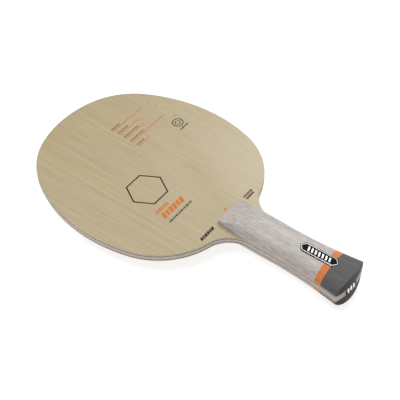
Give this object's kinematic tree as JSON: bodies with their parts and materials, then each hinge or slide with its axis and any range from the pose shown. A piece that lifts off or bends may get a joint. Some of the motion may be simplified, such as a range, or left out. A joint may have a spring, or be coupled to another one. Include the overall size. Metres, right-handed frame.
{
  "type": "table tennis blade",
  "caption": "Bare wooden table tennis paddle blade: rounded plywood head with fibre layers and a flared two-part handle with inlaid badges.",
  "frame": {"origin": "centre of the overall box, on the middle of the core ply", "axes": "+X across the head, +Y from the butt of the handle to the tip of the head, +Z out of the front face"},
  "size_m": [0.15, 0.2605, 0.0264],
  "materials": {
    "core_wood": "raw light wood edge, fine sanding lines",
    "fibre": "dark woven fibre layer, seen only at its edge",
    "middle_wood": "raw grey-brown veneer edge",
    "face_wood": "pale beige veneer, fine straight grain along the handle, satin",
    "grip_wood": "grey-washed wood with straight grain, satin",
    "band_wood": "orange-dyed wood, satin",
    "butt_wood": "charcoal-dyed wood, satin",
    "adhesive": "thin translucent adhesive pad",
    "badge_black": "gloss black enamel on a thin metal plate",
    "badge_metal": "bright brushed rim with cut teeth",
    "ink_black": "thin dark screen print on the face veneer",
    "ink_orange": "thin orange screen print on the face veneer",
    "badge_white": "white enamel"
  },
  "bodies": {
    "root": {"core_ply": "core_wood", "front_fibre_ply": "fibre", "back_fibre_ply": "fibre", "front_middle_ply": "middle_wood", "back_middle_ply": "middle_wood", "front_face_veneer": "face_wood", "back_face_veneer": "face_wood", "front_grip_block": "grip_wood", "back_grip_block": "grip_wood", "front_colour_band": "band_wood", "back_colour_band": "band_wood", "front_butt_block": "butt_wood", "back_butt_block": "butt_wood", "handle_badge_pad": "adhesive", "handle_badge_plate": "badge_black", "handle_badge_rim": "badge_metal", "handle_badge_emblem": "badge_white", "butt_badge_pad": "adhesive", "butt_badge_plate": "badge_black", "butt_badge_emblem": "badge_white"}
  },
  "joints": []
}
